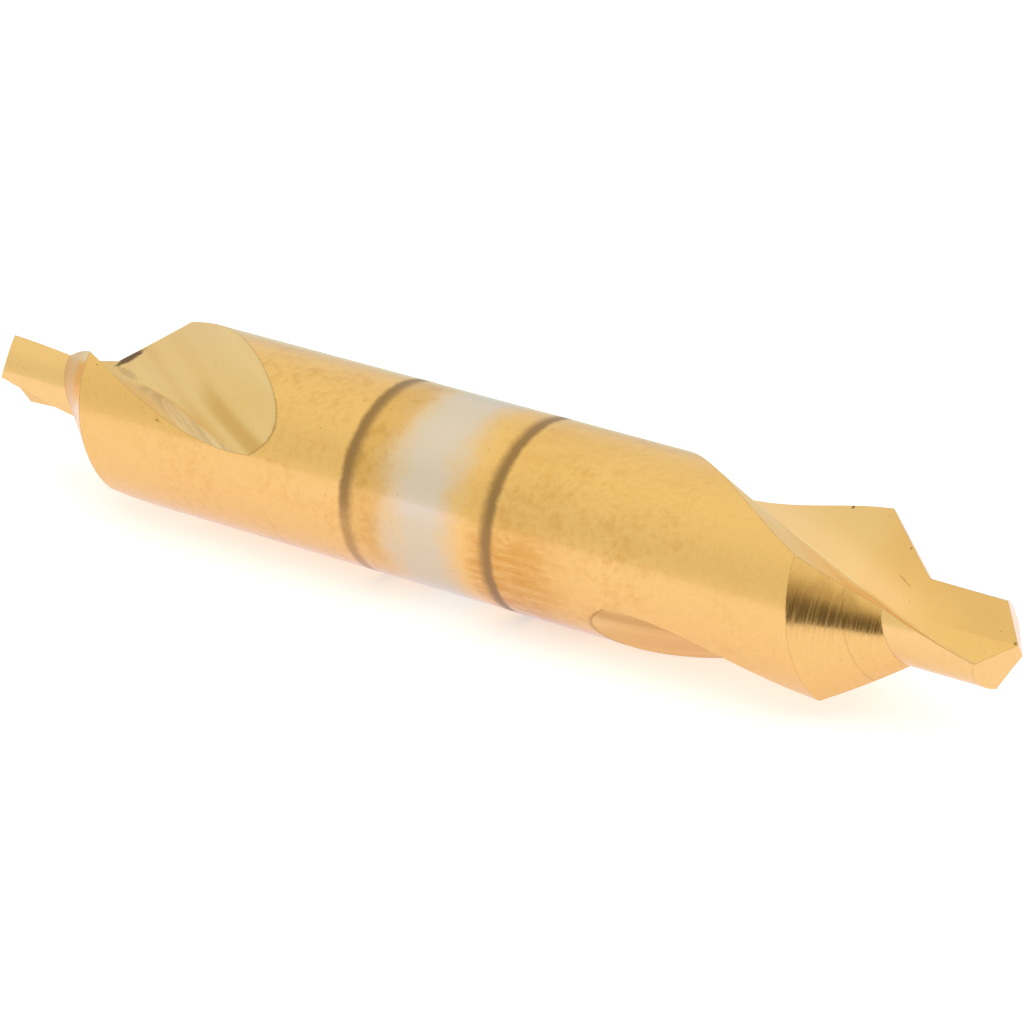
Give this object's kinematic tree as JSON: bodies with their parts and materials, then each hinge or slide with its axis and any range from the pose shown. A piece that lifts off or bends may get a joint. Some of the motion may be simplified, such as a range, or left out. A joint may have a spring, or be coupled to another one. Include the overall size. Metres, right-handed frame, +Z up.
{
  "type": "centre drill",
  "caption": "Centre drill for starting centred holes: a gold-coated round steel bar with a short fluted pilot and a countersink ground on each end.",
  "frame": {"origin": "on the bar's axis, half way between the points of its ends", "axes": "+X along the bar's axis towards the near end, +Z up as the bar lies in the picture, +Y away from the viewer's side"},
  "size_m": [0.0698, 0.0112, 0.0112],
  "materials": {
    "coated_steel": "ground high-speed steel with a gold titanium nitride coating, bare bright band round the middle"
  },
  "bodies": {
    "root": {"drill": "coated_steel"}
  },
  "joints": []
}
